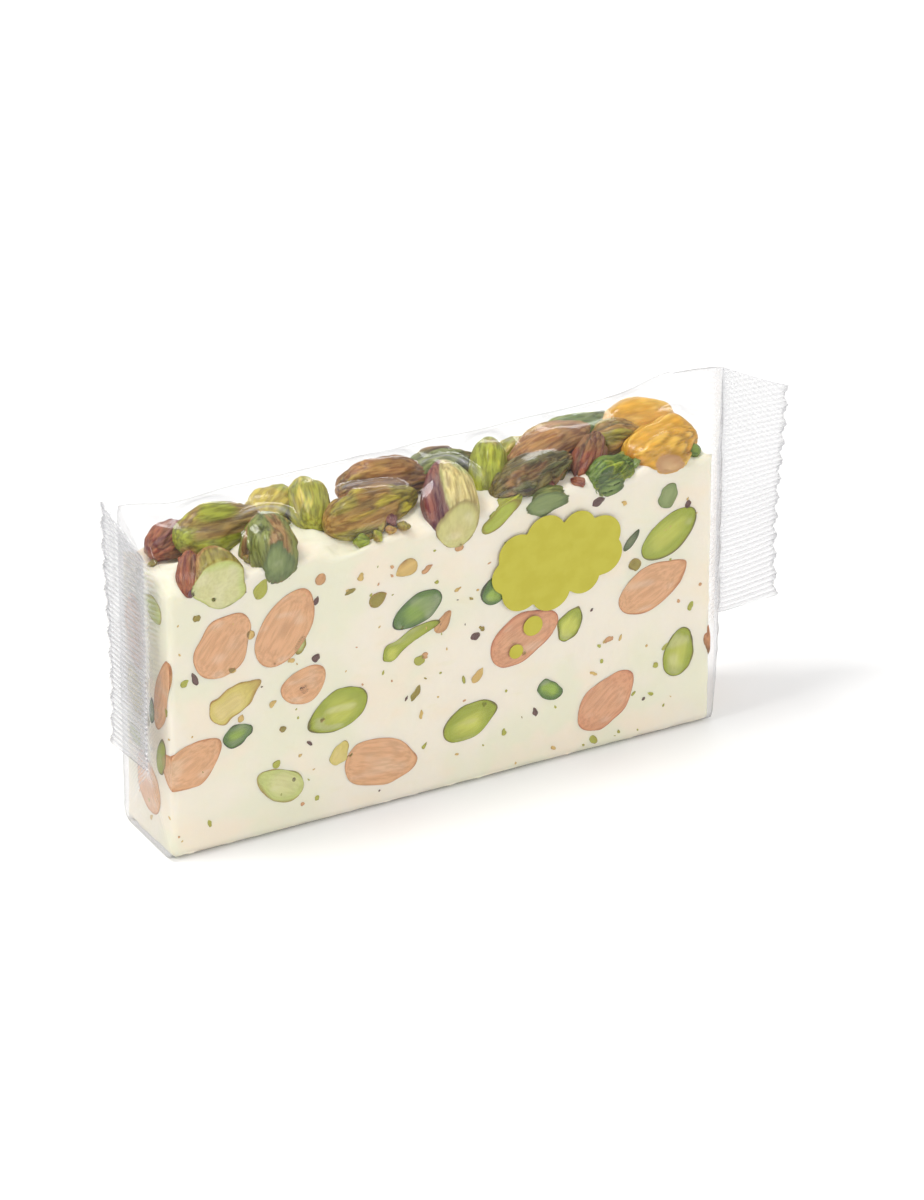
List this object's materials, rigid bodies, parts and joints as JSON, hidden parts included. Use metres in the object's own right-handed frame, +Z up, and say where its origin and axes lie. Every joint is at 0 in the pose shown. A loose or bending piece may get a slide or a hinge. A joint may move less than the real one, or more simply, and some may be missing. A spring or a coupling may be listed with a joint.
{
  "type": "wrapped nougat bar",
  "caption": "Upright slab of pale nougat with cut almonds and pistachios, whole pistachios on top, sealed in clear film with crimped fins at both ends.",
  "frame": {"origin": "centre of the pack's bounding box at its bottom, on the plane that the bar stands on", "axes": "+X along the bar's length towards the straight fin, +Y from the printed front to the back, +Z up"},
  "size_m": [0.1226, 0.0182, 0.0606],
  "materials": {
    "film": "clear glossy film with fine creases and ribbed crimped ends",
    "print": "opaque olive-lime ink printed on the film",
    "nougat": "soft matt cream, smooth where cut, lumpy on top",
    "almond": "cut face of roasted almond, matt, with a thin darker edge",
    "pistachio": "wrinkled dry skin from olive and green to tan, red-brown and purple"
  },
  "bodies": {
    "root": {"film_pack": "film"}
  },
  "joints": []
}
